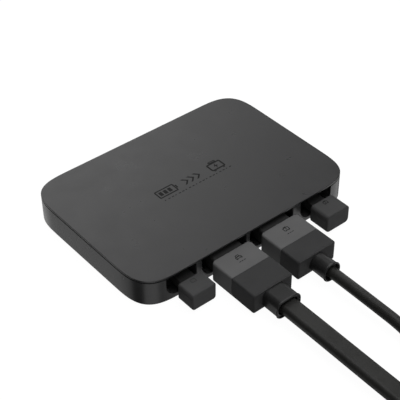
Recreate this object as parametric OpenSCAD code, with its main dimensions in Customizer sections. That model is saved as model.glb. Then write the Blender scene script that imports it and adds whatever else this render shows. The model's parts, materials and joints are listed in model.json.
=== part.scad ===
// Vehicle DC-DC charger. A flat metal housing with four ports along its front side:
// two cabled plugs that pull out, and two port caps. Its leads lie coiled on the same surface.
// Millimetres, +Z up. The origin is the middle of the housing's underside, ports facing -Y.

/* [Housing] */
// Length of the housing along its port side
body_l = 240; // [236:1:246]
// Depth of the housing from port side to back
body_w = 170; // [168:1:174]
// Height from the underside to the top of the cover
body_h = 27.5; // [27.5:0.1:28.5]
// Length that each corner curve takes up along a side
corner_r = 44.4; // [40:0.4:48]
// Squareness of the corner curve, where 2 is a circle
corner_n = 3.5; // [2.5:0.1:4]
// Thickness of the top cover's plate
cover_t = 1.9; // [1.5:0.1:2.2]
// Height of the shadow gap under the cover's edge
gap_h = 0.8; // [0.5:0.1:1.2]
// Wall thickness of the housing
wall_t = 3; // [2.6:0.1:3.4]
// Thickness of the housing's floor
floor_t = 3.4; // [3.2:0.1:3.6]

/* [Ports] */
// Depth of the four pockets in the port side
pocket_d = 11; // [10:0.5:11.5]
// Height of the pocket floor over the underside
pocket_z = 5; // [4.6:0.1:5.4]
// Height of the port axes over the underside
port_z = 13.5; // [13.3:0.1:13.7]
// Radius of the lower pocket corners
pocket_r = 11; // [9:0.5:12]

/* [Plugs] */
// Width of a cabled plug's shell
plug_w = 43.2; // [42.4:0.1:43.8]
// Height of a cabled plug's shell
plug_h = 20.2; // [19.6:0.1:20.6]
// Length of the input plug's shells
input_plug_l = 54; // [52:0.5:56]
// Length of the output plug's shells
output_plug_l = 48.5; // [47:0.5:52]
// Gap between the housing's port side and the plug shells
plug_gap = 5.5; // [5:0.1:6]

/* [Input lead] */
// Width of the flat twin cable
flat_w = 18; // [17.5:0.5:19]
// Thickness of the flat twin cable
flat_t = 10; // [9:0.5:10]
// Inner radius of the input lead's coil, to the cable's middle
flat_coil_r = 77; // [76:0.5:78]
// Turns in each of the two layers of the input lead's coil
flat_turns = 3.52; // [3.4:0.02:3.6]

/* [Output lead] */
// Diameter of the round cable
round_d = 10.4; // [10:0.2:10.6]
// Inner radius of the output lead's coil, to the cable's middle
round_coil_r = 42; // [42:0.5:43]
// Turns in each of the two layers of the output lead's coil
round_turns = 1.76; // [1.7:0.02:1.8]

/* [Hidden] */
$fn = 64;

eps = 0.01;
front_y = -body_w / 2;
cover_z = body_h - cover_t;
band_z = cover_z - gap_h;
rim_inset = 1.3;

// The solid block behind the port side, which the pockets and sockets are cut into
block_l = 200;
block_d = 18;
block_y = front_y + block_d;

// Port positions along X, and the edges of the four pockets
left_x = -77.2;
input_x = -32;
output_x = 23.2;
right_x = 75.2;
left_pocket = [-96.5, -65.2];
input_pocket = [-58.6, -9.2];
output_pocket = [-4.8, 45.6];
right_pocket = [55.4, 93];

// Sockets: outer size, cavity size and the depth of the cavity behind the pocket
pocket_back_y = front_y + pocket_d;
socket_w = 38;
socket_h = 19;
nose_w = 33;
nose_h = 14.6;
nose_r = 2.5;
socket_play = 0.3;
cavity_d = 11;
socket_l = 22;
pin_r = 3;
pin_pitch = 16;
pin_play = 0.08;
small_socket_w = 20.6;
small_socket_h = 13;
small_nose_w = 16;
small_nose_h = 9;

// Plug shells
shell_y = front_y - plug_gap;
shell_seam = 26;
shell_wall = 2.6;
shell_corner = 3.5;
edge_r = 2;

// Cords: a coil lies on its tie, with its two layers of turns a little apart
tie_t = 0.6;
coil_z = tie_t + 0.1;
flat_pitch = flat_t + 0.4;
round_pitch = round_d + 0.2;
layer_gap = 0.2;
flat_coil_out = flat_coil_r + flat_turns * flat_pitch;
round_coil_out = round_coil_r + round_turns * round_pitch;
flat_coil_h = 2 * flat_w + layer_gap;
round_coil_h = 2 * round_d + layer_gap;

input_boot_l = 19;
output_boot_l = 18.6;
input_boot_end = shell_y - input_plug_l - input_boot_l;
output_boot_end = shell_y - output_plug_l - output_boot_l;

// Outline of the housing, moved in by inset: four superellipse corners
corner_steps = 18;
function corner(q, i, inset) =
    let (
        t = 90 * i / corner_steps,
        r = corner_r - inset,
        a = r * pow(cos(t), 2 / corner_n),
        b = r * pow(sin(t), 2 / corner_n),
        cx = body_l / 2 - corner_r,
        cy = body_w / 2 - corner_r
    )
    q == 0 ? [cx + a, cy + b] :
    q == 1 ? [-cx - b, cy + a] :
    q == 2 ? [-cx - a, -cy - b] : [cx + b, -cy - a];
module outline(inset = 0) {
    polygon([for (q = [0:3]) for (i = [0:corner_steps]) corner(q, i, inset)]);
}

// The space inside the walls and behind the port block, moved in by inset
module inside(inset = 0) {
    difference() {
        outline(wall_t + inset);
        translate([-block_l / 2 - inset, front_y - 1])
            square([block_l + 2 * inset, block_d + 1 + inset]);
    }
}

// Rectangle with round corners, centred
module round_rect(w, h, r) {
    square([w - 2 * r, h], center = true);
    square([w, h - 2 * r], center = true);
    for (x = [-1, 1], y = [-1, 1])
        translate([x * (w / 2 - r), y * (h / 2 - r)]) circle(r);
}

// Bar along Y from y0 to y1 with a round-cornered section, centred on x and z
module bar(x, z, w, h, r, y0, y1) {
    translate([x, y1, z]) rotate([90, 0, 0]) linear_extrude(y1 - y0) round_rect(w, h, r);
}

// Pocket section: square above, round at the two lower corners
module pocket_section(range, z0, r, top) {
    w = range[1] - range[0];
    translate([range[0], z0 + r]) square([w, top - z0 - r]);
    translate([range[0] + r, z0]) square([w - 2 * r, r + eps]);
    for (x = [range[0] + r, range[1] - r]) translate([x, z0 + r]) circle(r);
}
module pocket(range) {
    translate([0, pocket_back_y, 0]) rotate([90, 0, 0]) linear_extrude(pocket_d + 1)
        pocket_section(range, pocket_z, pocket_r, cover_z + 1);
}

cover_screw_xy = [[106, -48], [-106, -48], [106, 52], [-106, 52], [40, 74], [-40, 74]];
board_screw_xy = [[90, -40], [-90, -40], [90, 60], [-90, 60], [0, 62], [0, -44]];
mount_xy = [[90, 50], [-90, 50], [90, -50], [-90, -50]];
mount_hole_r = 1.65;
mount_hole_d = 6;
screw_r = 1.45;
screw_head_r = 2.75;
board_z = 8;
board_t = 1.6;
board_top = board_z + board_t;
boss_top = 19.5;
seal_z = 23.6;
seal_ledge = 1.6;
window_y = block_y + seal_ledge + 1;

// Cast housing: side band, floor with cooling grooves, port block with pockets, and bosses
module housing() {
    color([0.2, 0.2, 0.21]) difference() {
        union() {
            linear_extrude(1.2) outline(1.4);
            translate([0, 0, 1.2]) linear_extrude(band_z - 1.2) outline();
            translate([0, 0, band_z - eps]) linear_extrude(gap_h + eps) outline(rim_inset);
        }
        difference() {
            union() {
                translate([0, 0, floor_t]) linear_extrude(body_h) inside(seal_ledge);
                translate([0, 0, seal_z]) linear_extrude(body_h) inside();
            }
            for (p = cover_screw_xy)
                translate([p[0], p[1], 0]) cylinder(h = boss_top, r = 4.2);
            for (p = board_screw_xy)
                translate([p[0], p[1], 0]) cylinder(h = board_z, r = 3.5);
            for (p = mount_xy)
                translate([p[0], p[1], 0]) cylinder(h = board_z - 0.2, r = 4.5);
        }
        pocket(left_pocket);
        pocket(input_pocket);
        pocket(output_pocket);
        pocket(right_pocket);
        for (x = [input_x, output_x])
            bar(x, port_z, socket_w + 0.2, socket_h + 0.2, 3, pocket_back_y - 1, window_y);
        for (x = [left_x, right_x])
            bar(x, port_z, small_socket_w + 0.2, small_socket_h + 0.2, 2,
                pocket_back_y - 1, window_y);
        for (p = cover_screw_xy) translate([p[0], p[1], -1]) {
            cylinder(h = boss_top + 2, r = 1.7);
            cylinder(h = 3.4, r = 3.1);
        }
        for (p = board_screw_xy) translate([p[0], p[1], floor_t + 0.4])
            cylinder(h = 10, r = 1.5);
        for (p = mount_xy) translate([p[0], p[1], -1])
            cylinder(h = mount_hole_d + 1, r = mount_hole_r);
        for (x = [-66:12:66]) groove(x);
    }
}
// Cooling groove across the underside, round at both ends
module groove(x) {
    groove_w = 6;
    groove_l = 100;
    translate([x, 0, -1]) linear_extrude(1 + 1.4) {
        square([groove_w, groove_l - groove_w], center = true);
        for (y = [-1, 1]) translate([0, y * (groove_l - groove_w) / 2]) circle(groove_w / 2);
    }
}

// Top cover: flat plate with a thin stepped edge, a locating skirt and six screw bosses
module top_cover() {
    color([0.3, 0.3, 0.31]) difference() {
        union() {
            translate([0, 0, cover_z]) linear_extrude(cover_t - 0.4) outline();
            translate([0, 0, body_h - 0.4 - eps]) linear_extrude(0.4 + eps) outline(0.4);
            translate([0, 0, seal_z + 1]) linear_extrude(cover_z - seal_z - 1 + eps) difference() {
                inside(0.3);
                inside(2);
            }
            for (p = cover_screw_xy) translate([p[0], p[1], boss_top + 0.1])
                cylinder(h = cover_z - boss_top, r = 4);
        }
        for (p = cover_screw_xy) translate([p[0], p[1], boss_top - 1])
            cylinder(h = cover_z - boss_top + 0.6, r = 1.5);
    }
}

// Rubber seal that lies between the housing's rim and the cover's skirt
module cover_seal() {
    color([0.05, 0.05, 0.05]) translate([0, 0, seal_z]) linear_extrude(0.98) difference() {
        inside(0.35);
        inside(1.9);
    }
}

// One screw: head below, shank up
module screw(len, head_h, head_r = screw_head_r) {
    cylinder(h = head_h, r = head_r);
    translate([0, 0, head_h - eps]) cylinder(h = len, r = screw_r);
}
module cover_screws() {
    color([0.55, 0.55, 0.57]) for (p = cover_screw_xy) translate([p[0], p[1], 0.3]) difference() {
        screw(22.6, 2);
        translate([0, 0, -1]) cylinder(h = 2.1, r = 1.25, $fn = 6);
    }
}

module main_board() {
    color([0.05, 0.25, 0.14]) translate([0, 0, board_z]) linear_extrude(board_t) difference() {
        translate([0, 9]) round_rect(196, 120, 5);
        for (p = board_screw_xy) translate([p[0], p[1]]) circle(1.7);
        for (p = cover_screw_xy) translate([p[0], p[1]]) circle(5.5);
    }
}
module board_screws() {
    color([0.7, 0.7, 0.72]) for (p = board_screw_xy)
        translate([p[0], p[1], board_top + 2]) mirror([0, 0, 1]) difference() {
            screw(5.2, 2);
            translate([0, 0, -1]) cylinder(h = 2.1, r = 1.25, $fn = 6);
        }
}

// Power transistors under the board, pressed onto a pad on the housing floor
transistor_x = [for (i = [-3.5:3.5]) i * 19];
pad_t = 0.6;
module thermal_pad() {
    color([0.55, 0.6, 0.65]) translate([-78, 22, floor_t]) cube([156, 20, pad_t]);
}
module power_transistors() {
    color([0.08, 0.08, 0.08]) for (x = transistor_x)
        translate([x - 8, 23, floor_t + pad_t + 0.02]) cube([16, 18, board_z - floor_t - pad_t - 0.04]);
}

// Planar transformer: a ferrite core with two windows, and the winding through them
xf_x = -12;
xf_y = 14;
core_h = 14;
module transformer_core() {
    color([0.2, 0.19, 0.18]) translate([xf_x, xf_y, board_top + core_h / 2]) difference() {
        cube([48, 36, core_h], center = true);
        for (x = [-1, 1]) translate([x * 14.5, 0, 0]) cube([11, 38, 7], center = true);
    }
}
module transformer_winding() {
    color([0.72, 0.4, 0.2]) translate([xf_x, xf_y, board_top + core_h / 2])
        linear_extrude(6, center = true) difference() {
            round_rect(39, 60, 6);
            square([19, 38], center = true);
        }
}

// Two ring chokes, one on each side of the transformer
choke_xy = [[-62, 6], [38, 6]];
module choke_ring(r0, r1, h) {
    rotate_extrude() translate([r0, -h / 2]) square([r1 - r0, h]);
}
module choke_cores() {
    color([0.75, 0.68, 0.2]) for (p = choke_xy)
        translate([p[0], p[1], board_top + 7.2]) choke_ring(8.4, 16, 9.6);
}
module choke_windings() {
    turns = 20;
    color([0.75, 0.4, 0.18]) for (p = choke_xy)
        translate([p[0], p[1], board_top + 7.2]) for (i = [0:turns - 1])
            rotate([0, 0, (i + 0.5) * 330 / turns + 15]) translate([12.2, 0, 0])
                difference() {
                    cube([11.6, 1.5, 13.2], center = true);
                    cube([8.2, 2, 10.2], center = true);
                }
}

// Electrolytic capacitors lying on the board
module capacitor_row(x0, y0, count) {
    for (i = [0:count - 1]) translate([x0 + i * 15, y0, board_top + 6.4]) rotate([-90, 0, 0])
        cylinder(h = 26, r = 6.3);
}
module input_capacitors() {
    color([0.1, 0.1, 0.14]) capacitor_row(-84, -38, 3);
}
module output_capacitors() {
    color([0.1, 0.1, 0.14]) capacitor_row(66, -4, 2);
}

// Bolted fuse between the input busbar and the board
module fuse() {
    color([0.75, 0.6, 0.2]) translate([-33, -38, board_top]) {
        translate([0, 0, 1]) cube([24, 12, 9]);
        translate([-5, 2, 0]) cube([34, 8, 1.2]);
    }
}
module current_shunt() {
    color([0.6, 0.6, 0.6]) translate([62, -38, board_top]) {
        cube([22, 10, 1.5]);
        translate([7, 0, 1.5 - eps]) cube([8, 10, 2.5]);
    }
}
module control_chips() {
    color([0.06, 0.06, 0.07]) {
        for (x = [-70, -50, 20, 40]) translate([x, 50, board_top]) cube([10, 10, 1.4]);
        for (x = [-30, 62]) translate([x, 50, board_top]) cube([7, 14, 1.6]);
    }
}
module radio_shield() {
    color([0.72, 0.72, 0.74]) translate([64, 30, board_top]) difference() {
        cube([25, 16, 3]);
        translate([0.4, 0.4, -1]) cube([24.2, 15.2, 3.6]);
    }
}

// Copper busbars from the tails of the port pins to the board
bar_y = -50;
module busbar_pair(x) {
    for (s = [-1, 1]) translate([x + s * pin_pitch / 2 - 4, bar_y, 0]) {
        translate([0, 0, board_top]) cube([8, 8, 1.5]);
        translate([0, 0, board_top]) cube([8, 1.5, 8.4]);
    }
}
module input_busbars() {
    color([0.72, 0.42, 0.22]) busbar_pair(input_x);
}
module output_busbars() {
    color([0.72, 0.42, 0.22]) busbar_pair(output_x);
}

// Port socket: flush with the back of its pocket, open towards the plug
module socket(x, w, h, nw, nh) {
    difference() {
        bar(x, port_z, w, h, 2.5, pocket_back_y, pocket_back_y + socket_l);
        bar(x, port_z, nw + 2 * socket_play, nh + 2 * socket_play, nose_r,
            pocket_back_y - 1, pocket_back_y + cavity_d);
    }
}
module power_socket(x) {
    difference() {
        socket(x, socket_w, socket_h, nose_w, nose_h);
        for (s = [-1, 1]) translate([x + s * pin_pitch / 2, pocket_back_y + socket_l + 1, port_z])
            rotate([90, 0, 0]) cylinder(h = socket_l, r = pin_r + 0.02);
    }
}
module power_pins(x) {
    for (s = [-1, 1]) translate([x + s * pin_pitch / 2, bar_y - 0.02, port_z]) rotate([90, 0, 0])
        cylinder(h = 22, r = pin_r);
}
module small_socket(x) {
    difference() {
        socket(x, small_socket_w, small_socket_h, small_nose_w, small_nose_h);
        for (i = [-1.5:1.5]) translate([x + i * 3, pocket_back_y + socket_l + 1, port_z])
            rotate([90, 0, 0]) cylinder(h = socket_l, r = 0.42);
    }
}
module small_pins(x) {
    for (i = [-1.5:1.5]) translate([x + i * 3, pocket_back_y + socket_l + 2, port_z])
        rotate([90, 0, 0]) cylinder(h = 19, r = 0.4);
}
socket_black = [0.09, 0.09, 0.09];
pin_gold = [0.8, 0.65, 0.35];
module input_socket() {
    color(socket_black) power_socket(input_x);
}
module input_pins() {
    color(pin_gold) power_pins(input_x);
}
module output_socket() {
    color(socket_black) power_socket(output_x);
}
module output_pins() {
    color(pin_gold) power_pins(output_x);
}
module left_socket() {
    color(socket_black) small_socket(left_x);
}
module left_pins() {
    color(pin_gold) small_pins(left_x);
}
module right_socket() {
    color(socket_black) small_socket(right_x);
}
module right_pins() {
    color(pin_gold) small_pins(right_x);
}

// Plug built along -Y from its mating end: origin at the middle of the shell's mating face
module plug_front_shell() {
    difference() {
        intersection() {
            bar(0, 0, plug_w, plug_h, edge_r, -shell_seam, 0);
            translate([0, -shell_seam, -plug_h]) linear_extrude(2 * plug_h) {
                translate([-plug_w / 2, 0]) square([plug_w, shell_seam - shell_corner]);
                translate([-plug_w / 2 + shell_corner, 0])
                    square([plug_w - 2 * shell_corner, shell_seam]);
                for (s = [-1, 1])
                    translate([s * (plug_w / 2 - shell_corner), shell_seam - shell_corner])
                        circle(shell_corner);
            }
        }
        bar(0, 0, nose_w + 0.1, nose_h + 0.1, nose_r, -shell_seam - 1, 1);
    }
}
module plug_rear_shell(len) {
    difference() {
        bar(0, 0, plug_w, plug_h, edge_r, -len, -shell_seam - 0.1);
        bar(0, 0, plug_w - 2 * shell_wall, plug_h - 2 * shell_wall, 1,
            -len + shell_wall, -shell_seam);
    }
}
nose_out = pocket_d + plug_gap + cavity_d - 0.6;
insert_in = 22;
sleeve_r = pin_r + 1.2;
module plug_insert() {
    difference() {
        bar(0, 0, nose_w, nose_h, nose_r, -insert_in, nose_out);
        for (s = [-1, 1]) translate([s * pin_pitch / 2, nose_out + 1, 0]) rotate([90, 0, 0])
            cylinder(h = insert_in + nose_out + 2, r = sleeve_r + 0.02);
    }
}
module plug_contacts() {
    for (s = [-1, 1]) translate([s * pin_pitch / 2, nose_out - 0.5, 0]) rotate([90, 0, 0])
        difference() {
            cylinder(h = nose_out + insert_in + 3, r = sleeve_r);
            translate([0, 0, -1]) cylinder(h = 15, r = pin_r + pin_play);
        }
}
module at_plug(x) {
    translate([x, shell_y, port_z]) children();
}
light_grey = [0.36, 0.36, 0.37];
dark_grey = [0.2, 0.2, 0.21];
near_black = [0.1, 0.1, 0.1];
module input_front_shell() {
    color(light_grey) at_plug(input_x) plug_front_shell();
}
module input_rear_shell() {
    color(dark_grey) at_plug(input_x) plug_rear_shell(input_plug_l);
}
module input_insert() {
    color(near_black) at_plug(input_x) plug_insert();
}
module input_contacts() {
    color(pin_gold) at_plug(input_x) plug_contacts();
}
module output_front_shell() {
    color(light_grey) at_plug(output_x) plug_front_shell();
}
module output_rear_shell() {
    color(dark_grey) at_plug(output_x) plug_rear_shell(output_plug_l);
}
module output_insert() {
    color(near_black) at_plug(output_x) plug_insert();
}
module output_contacts() {
    color(pin_gold) at_plug(output_x) plug_contacts();
}

// Strain reliefs: the input one is broad and flat, the output one round; both widen at the end
module flat_boot(len) {
    hull() {
        bar(0, 0, 24.2, 17.8, 6, -1, 0);
        bar(0, 0, 25, 18, 6.6, -len + 1, -len + 2);
    }
    hull() {
        bar(0, 0, 25, 18, 6.6, -len + 1, -len + 2);
        bar(0, 0, 27, 18.6, 7.4, -len, -len + 0.8);
    }
}
module round_boot(len) {
    rotate([90, 0, 0]) cylinder(h = len - 2, r1 = 8.8, r2 = 9.1);
    translate([0, -len + 2, 0]) rotate([90, 0, 0]) cylinder(h = 2, r1 = 9.1, r2 = 9.7);
}
module input_boot() {
    color(near_black) translate([input_x, shell_y - input_plug_l, port_z]) flat_boot(input_boot_l);
}
module output_boot() {
    color(near_black) translate([output_x, shell_y - output_plug_l, port_z])
        round_boot(output_boot_l);
}

// Port caps: a block with a nose that fits the small socket and clears its pins
cap_y = front_y - 5.6;
module cap(x, z, w, h, r, len) {
    difference() {
        union() {
            bar(x, z, w, h, r, cap_y - len, cap_y);
            bar(x, port_z, small_nose_w, small_nose_h, 1.5, cap_y - 1, pocket_back_y + cavity_d - 3);
        }
        for (i = [-1.5:1.5]) translate([x + i * 3, pocket_back_y + cavity_d, port_z])
            rotate([90, 0, 0]) cylinder(h = 9, r = 0.5);
    }
}
module left_cap() {
    color(dark_grey) cap(left_x, 12.5, 25.4, 17.2, 2, 19.8);
}
module right_cap() {
    color(dark_grey) cap(right_x, 13.3, 27.5, 18.4, 3.5, 22);
}

// Cord sections: a flat one with round edges, wide along its first axis, and a round one
function flat_section(w, t, n = 12) = [
    for (i = [0:n - 1]) let (
        a = 360 * i / n,
        side = abs(cos(a)) < 0.01 ? 0 : sign(cos(a))
    ) [side * (w - t) / 2 + t / 2 * cos(a), t / 2 * sin(a)]
];
function round_section(d, n = 10) = [for (i = [0:n - 1]) d / 2 * [cos(360 * i / n), sin(360 * i / n)]];

// Tube through the points [x, y, z, twist], where the twist turns the section about the route
function heading(path, i) =
    let (p = path[max(i - 1, 0)], q = path[min(i + 1, len(path) - 1)]) atan2(q[1] - p[1], q[0] - p[0]);
function ring(p, a, section) = [
    for (s = section) let (
        u = s[0] * cos(p[3]) - s[1] * sin(p[3]),
        v = s[0] * sin(p[3]) + s[1] * cos(p[3])
    ) [p[0] + u * sin(a), p[1] - u * cos(a), p[2] + v]
];
module tube(path, section) {
    n = len(section);
    last = len(path) - 1;
    points = [for (i = [0:last]) each ring(path[i], heading(path, i), section)];
    sides = [for (j = [0:last - 1]) for (i = [0:n - 1]) let (
        a = j * n + i,
        b = j * n + (i + 1) % n
    ) each [[a, b, b + n], [a, b + n, a + n]]];
    start = [for (i = [0:n - 1]) n - 1 - i];
    end = [for (i = [0:n - 1]) last * n + i];
    polyhedron(points, concat(sides, [start, end]), convexity = 8);
}

// Input lead: level out of its boot, then it turns onto its edge on the way to its coil
input_route = [
    [input_x, input_boot_end, 13.5, 0],
    [input_x, -180, 13.4, 0],
    [input_x, -200, 13.2, 0],
    [input_x, -220, 12.9, 0],
    [input_x, -240, 12.6, 0],
    [input_x, -260, 12.3, 0],
    [input_x, -280, 12, 0],
    [-33.1, -296, 11.8, 6],
    [-36.3, -312, 11.6, 16],
    [-41.2, -328, 11.4, 28],
    [-47.6, -344, 11.2, 41],
    [-55, -360, 11, 54],
    [-63, -376, 10.8, 66],
    [-71.5, -393, 10.6, 76],
    [-80, -410, 10.4, 84],
    [-88, -427, 10.2, 89],
    [-95.5, -445, 10.2, 90],
    [-101.5, -463, 10.2, 90],
    [-106, -481, 10.2, 90],
    [-108.5, -496, 10.2, 90],
    [-109, -508, 10.2, 90]
];
// Output lead: level out of its boot, then down to the surface and into its coil
output_route = [
    [output_x, output_boot_end, 13.5, 0],
    [output_x, -170, 13.4, 0],
    [output_x, -185, 13.2, 0],
    [output_x, -200, 12.9, 0],
    [output_x, -215, 12.5, 0],
    [output_x, -228, 12, 0],
    [22.6, -240, 11.2, 0],
    [20.5, -252, 10, 0],
    [17.2, -264, 8.6, 0],
    [13.5, -276, 7.2, 0],
    [10.7, -288, 6.2, 0],
    [9.4, -300, 5.9, 0]
];

// Coils: each lies where its route ends, on the +X side of the route's last point. The lower
// layer winds inwards, the inner turn climbs, and the upper layer winds outwards.
function coil_centre(route, r) = let (p = route[len(route) - 1]) [p[0] + r, p[1]];
flat_coil_c = coil_centre(input_route, flat_coil_out);
round_coil_c = coil_centre(output_route, round_coil_out);

// A lead's free end: from the upper layer it rises over the coil's edge, then bends in over
// the turns with radius r1 and runs straight on across them, towards angle out
function arc_points(c, r, a0, a1, z0, z1, n) = [
    for (i = [0:n]) let (
        f = i / n,
        a = a0 + (a1 - a0) * f,
        z = z0 + (z1 - z0) * (3 * f * f - 2 * f * f * f)
    ) [c[0] + r * cos(a), c[1] + r * sin(a), z, 90]
];
function free_end(c, r, r1, out, rise, z0, z1, tail, n) =
    let (
        a = out - 180,
        c1 = [c[0] + (r - r1) * cos(a), c[1] + (r - r1) * sin(a)],
        bend = arc_points(c1, r1, a, a + 90, z1, z1, n),
        p = bend[n]
    )
    concat(
        arc_points(c, r, a - rise, a, z0, z1, n),
        [for (i = [1:n]) bend[i]],
        [[p[0] + tail * cos(out), p[1] + tail * sin(out), z1, 90]]
    );
function last_point(path) = path[len(path) - 1];

flat_out = 180;
flat_bend_r = 80;
flat_rise = 60;
flat_tail = 25;
lug_boot_h = 21;
flat_end_z = coil_z + flat_coil_h + 0.2 + lug_boot_h / 2;
flat_end_path = free_end(flat_coil_c, flat_coil_out, flat_bend_r, flat_out, flat_rise,
    coil_z + layer_gap + 1.5 * flat_w, flat_end_z, flat_tail, 7);

round_out = 0;
round_bend_r = 42;
round_rise = 70;
round_tail = 10;
round_end_z = coil_z + round_coil_h + 0.3 + plug_h / 2;
round_end_path = free_end(round_coil_c, round_coil_out, round_bend_r, round_out, round_rise,
    coil_z + layer_gap + 1.5 * round_d, round_end_z, round_tail, 6);

cord_black = [0.08, 0.08, 0.075];
module input_cable() {
    color(cord_black) tube(input_route, flat_section(flat_w, flat_t));
}
module output_cable() {
    color(cord_black) tube(output_route, round_section(round_d));
}
module coil(c, r0, r1, t, h) {
    translate([c[0], c[1], coil_z]) rotate_extrude($fn = 96) translate([r0 - t / 2, 0])
        square([r1 - r0 + t, h]);
}
module input_coil() {
    color(cord_black) coil(flat_coil_c, flat_coil_r, flat_coil_out, flat_t, flat_coil_h);
}
module output_coil() {
    color(cord_black) coil(round_coil_c, round_coil_r, round_coil_out, round_d, round_coil_h);
}
module input_lead_end() {
    color(cord_black) tube(flat_end_path, flat_section(flat_w, flat_t));
}
module output_lead_end() {
    color(cord_black) tube(round_end_path, round_section(round_d));
}

// Strap round a coil's turns, at angle a round the coil's middle
module tie(c, a, r0, r1, t, h, w) {
    inner_play = 0.8;
    outer_play = 0.2;
    inner_l = r1 - r0 + t + inner_play + outer_play;
    translate([c[0], c[1], 0]) rotate([0, 0, a])
        translate([r0 - t / 2 - inner_play, 0, 0]) difference() {
            translate([-tie_t, -w / 2, 0]) cube([inner_l + 2 * tie_t, w, coil_z + h + 0.1 + tie_t]);
            translate([0, -w, tie_t]) cube([inner_l, 2 * w, coil_z + h + 0.1 - tie_t]);
        }
}
module input_coil_ties() {
    color([0.12, 0.12, 0.12]) for (a = [208, 275])
        tie(flat_coil_c, a, flat_coil_r, flat_coil_out, flat_t, flat_coil_h, 18);
}
module output_coil_tie() {
    color([0.12, 0.12, 0.12])
        tie(round_coil_c, 45, round_coil_r, round_coil_out, round_d, round_coil_h, 12);
}

// Battery end of the input lead: a moulded boot that splits into two ring lugs
lug_r = 8;
lug_hole_r = 4.2;
lug_t = 2;
lug_z = 4.6;
lug_boot_l = 34;
module at_flat_end() {
    translate([for (i = [0:2]) last_point(flat_end_path)[i]]) rotate([0, 0, flat_out]) children();
}
module lug_boot() {
    color(near_black) at_flat_end() rotate([90, 0, 90]) linear_extrude(lug_boot_l)
        round_rect(13, lug_boot_h, 5);
}
module lug(z) {
    at_flat_end() translate([lug_boot_l, 0, z]) {
        rotate([0, 90, 0]) cylinder(h = 14, r = 3.9);
        difference() {
            union() {
                translate([23, 0, -lug_t / 2]) cylinder(h = lug_t, r = lug_r);
                translate([13, -5, -lug_t / 2]) cube([8, 10, lug_t]);
            }
            translate([23, 0, -lug_t]) cylinder(h = 2 * lug_t, r = lug_hole_r);
        }
    }
}
module positive_lug() {
    color([0.75, 0.2, 0.15]) lug(lug_z);
}
module negative_lug() {
    color([0.7, 0.7, 0.7]) lug(-lug_z);
}

// Power-station end of the output lead: the same plug again, with a shorter nose
station_l = output_plug_l;
station_nose = 11;
module at_station() {
    translate([for (i = [0:2]) last_point(round_end_path)[i]]) rotate([0, 0, round_out - 90])
        translate([0, output_boot_l + station_l, 0]) children();
}
module station_boot() {
    color(near_black) at_station() translate([0, -station_l, 0]) round_boot(output_boot_l);
}
module station_rear_shell() {
    color(dark_grey) at_station() plug_rear_shell(station_l);
}
module station_front_shell() {
    color(light_grey) at_station() plug_front_shell();
}
module station_insert() {
    color(near_black) at_station() difference() {
        bar(0, 0, nose_w, nose_h, nose_r, -insert_in, station_nose);
        for (s = [-1, 1]) translate([s * pin_pitch / 2, station_nose + 1, 0]) rotate([90, 0, 0])
            cylinder(h = insert_in + station_nose + 2, r = sleeve_r + 0.02);
    }
}
module station_contacts() {
    color(pin_gold) at_station() for (s = [-1, 1])
        translate([s * pin_pitch / 2, station_nose - 0.5, 0]) rotate([90, 0, 0]) difference() {
            cylinder(h = station_nose + insert_in + 3, r = sleeve_r);
            translate([0, 0, -1]) cylinder(h = 12, r = pin_r + pin_play);
        }
}

housing();
top_cover();
cover_seal();
cover_screws();
main_board();
board_screws();
thermal_pad();
power_transistors();
transformer_core();
transformer_winding();
choke_cores();
choke_windings();
input_capacitors();
output_capacitors();
fuse();
current_shunt();
control_chips();
radio_shield();
input_busbars();
output_busbars();
input_socket();
input_pins();
output_socket();
output_pins();
left_socket();
left_pins();
right_socket();
right_pins();
input_front_shell();
input_rear_shell();
input_insert();
input_contacts();
input_boot();
input_cable();
input_coil();
input_coil_ties();
input_lead_end();
lug_boot();
positive_lug();
negative_lug();
output_front_shell();
output_rear_shell();
output_insert();
output_contacts();
output_boot();
output_cable();
output_coil();
output_coil_tie();
output_lead_end();
station_boot();
station_rear_shell();
station_front_shell();
station_insert();
station_contacts();
left_cap();
right_cap();
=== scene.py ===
"""Vehicle DC-DC charger: flat housing, two cabled plugs, two port caps and the coiled leads."""
import json
import math

import bmesh
import bpy
from mathutils import Matrix, Vector


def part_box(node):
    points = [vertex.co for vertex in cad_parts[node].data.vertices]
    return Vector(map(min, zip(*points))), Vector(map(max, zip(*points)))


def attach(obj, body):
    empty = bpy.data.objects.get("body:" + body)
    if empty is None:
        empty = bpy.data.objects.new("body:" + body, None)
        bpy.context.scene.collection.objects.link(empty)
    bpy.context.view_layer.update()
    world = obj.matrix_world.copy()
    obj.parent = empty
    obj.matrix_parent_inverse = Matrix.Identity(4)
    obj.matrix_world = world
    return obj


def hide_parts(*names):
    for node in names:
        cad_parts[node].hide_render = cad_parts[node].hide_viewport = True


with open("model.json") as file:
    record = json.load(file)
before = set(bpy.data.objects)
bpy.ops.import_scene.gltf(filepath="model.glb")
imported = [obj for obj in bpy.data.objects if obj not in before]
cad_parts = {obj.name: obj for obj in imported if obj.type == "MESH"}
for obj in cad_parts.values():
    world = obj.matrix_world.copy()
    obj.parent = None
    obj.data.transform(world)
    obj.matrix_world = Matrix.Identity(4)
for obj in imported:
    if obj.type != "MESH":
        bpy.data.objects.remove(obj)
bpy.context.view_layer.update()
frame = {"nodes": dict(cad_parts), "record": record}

MM = 0.001  # the sizes below are millimetres

# ---------------------------------------------------------------- camera

CAMERA_AZIMUTH, CAMERA_ELEVATION, CAMERA_ROLL = -39.224, 39.89, -0.663
CAMERA_DISTANCE = 1028.4
CAMERA_OFFSET = (7.0, 3.7)
CAMERA_LENS = 100.39


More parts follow.
